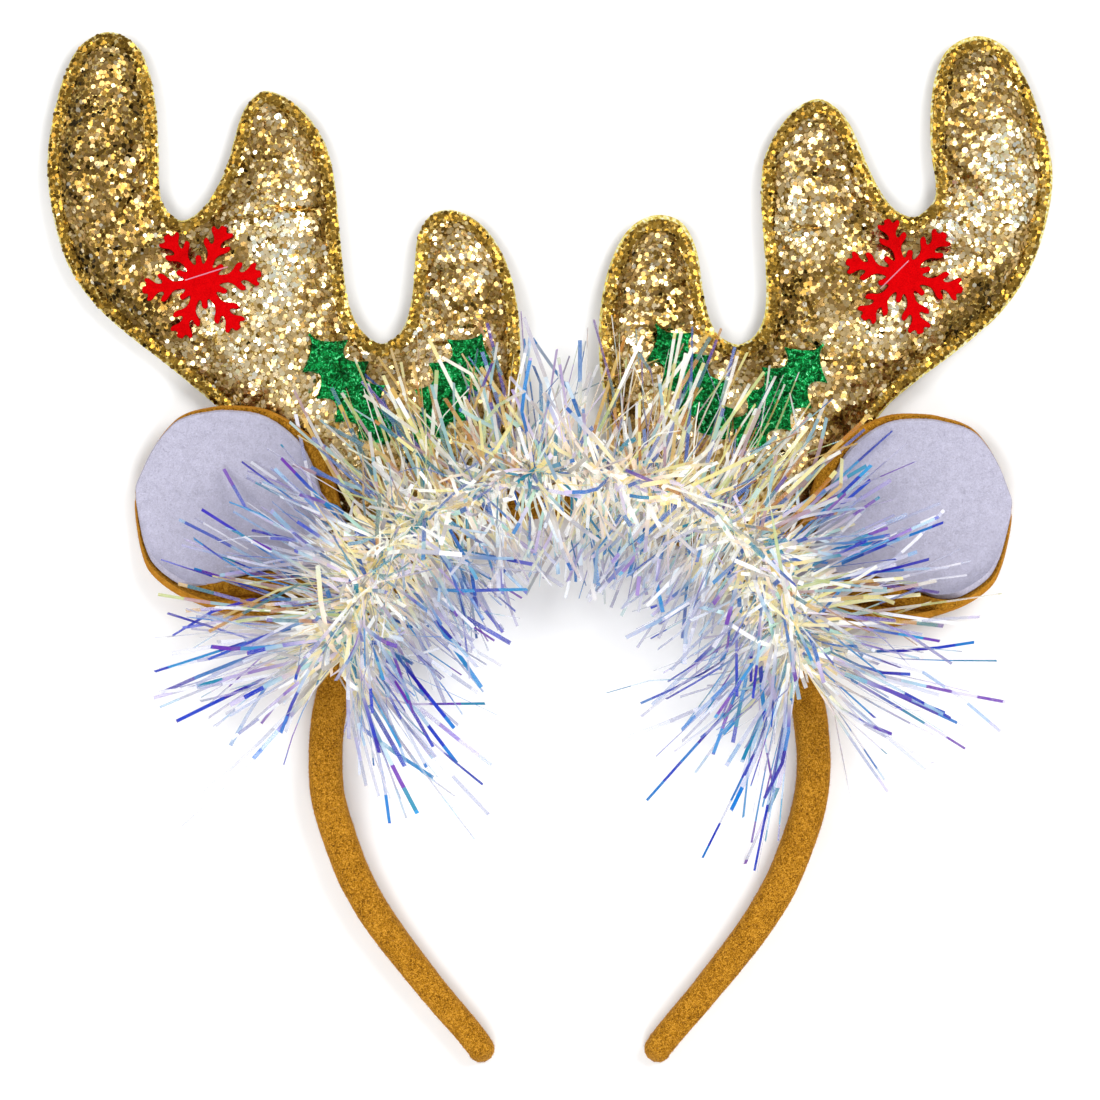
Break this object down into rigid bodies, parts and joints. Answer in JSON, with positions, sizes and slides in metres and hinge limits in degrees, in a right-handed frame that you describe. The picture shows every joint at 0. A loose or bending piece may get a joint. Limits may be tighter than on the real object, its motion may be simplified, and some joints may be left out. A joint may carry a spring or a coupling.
{
  "type": "reindeer antler headband",
  "caption": "Costume headband: felt-covered band with two padded glitter antlers, felt ears, holly leaves, felt snowflakes and an iridescent tinsel garland, lying on its back.",
  "frame": {"origin": "on the flat back of the band, at the middle of its crown", "axes": "+X to the wearer's left as seen in the front view (right of the picture), +Y from the tips of the band up to the antlers, +Z out of the front of the headband"},
  "size_m": [0.2604, 0.2682, 0.0443],
  "materials": {
    "brown_felt": "matt, fuzzy",
    "gold_glitter": "coarse metallic glitter",
    "red_felt": "matt",
    "green_foil": "crinkled metallic",
    "pale_felt": "matt, fuzzy",
    "tinsel_film": "clear iridescent film"
  },
  "bodies": {
    "root": {"headband": "brown_felt", "antler_left": "gold_glitter", "antler_right": "gold_glitter", "snowflake_left": "red_felt", "snowflake_right": "red_felt", "holly_leaf_left_outer": "green_foil", "holly_leaf_left_inner": "green_foil", "holly_leaf_right_inner": "green_foil", "holly_leaf_right_outer": "green_foil", "ear_left_outer_felt": "brown_felt", "ear_left_lining_felt": "pale_felt", "ear_right_outer_felt": "brown_felt", "ear_right_lining_felt": "pale_felt", "tinsel_garland": "tinsel_film"}
  },
  "joints": []
}
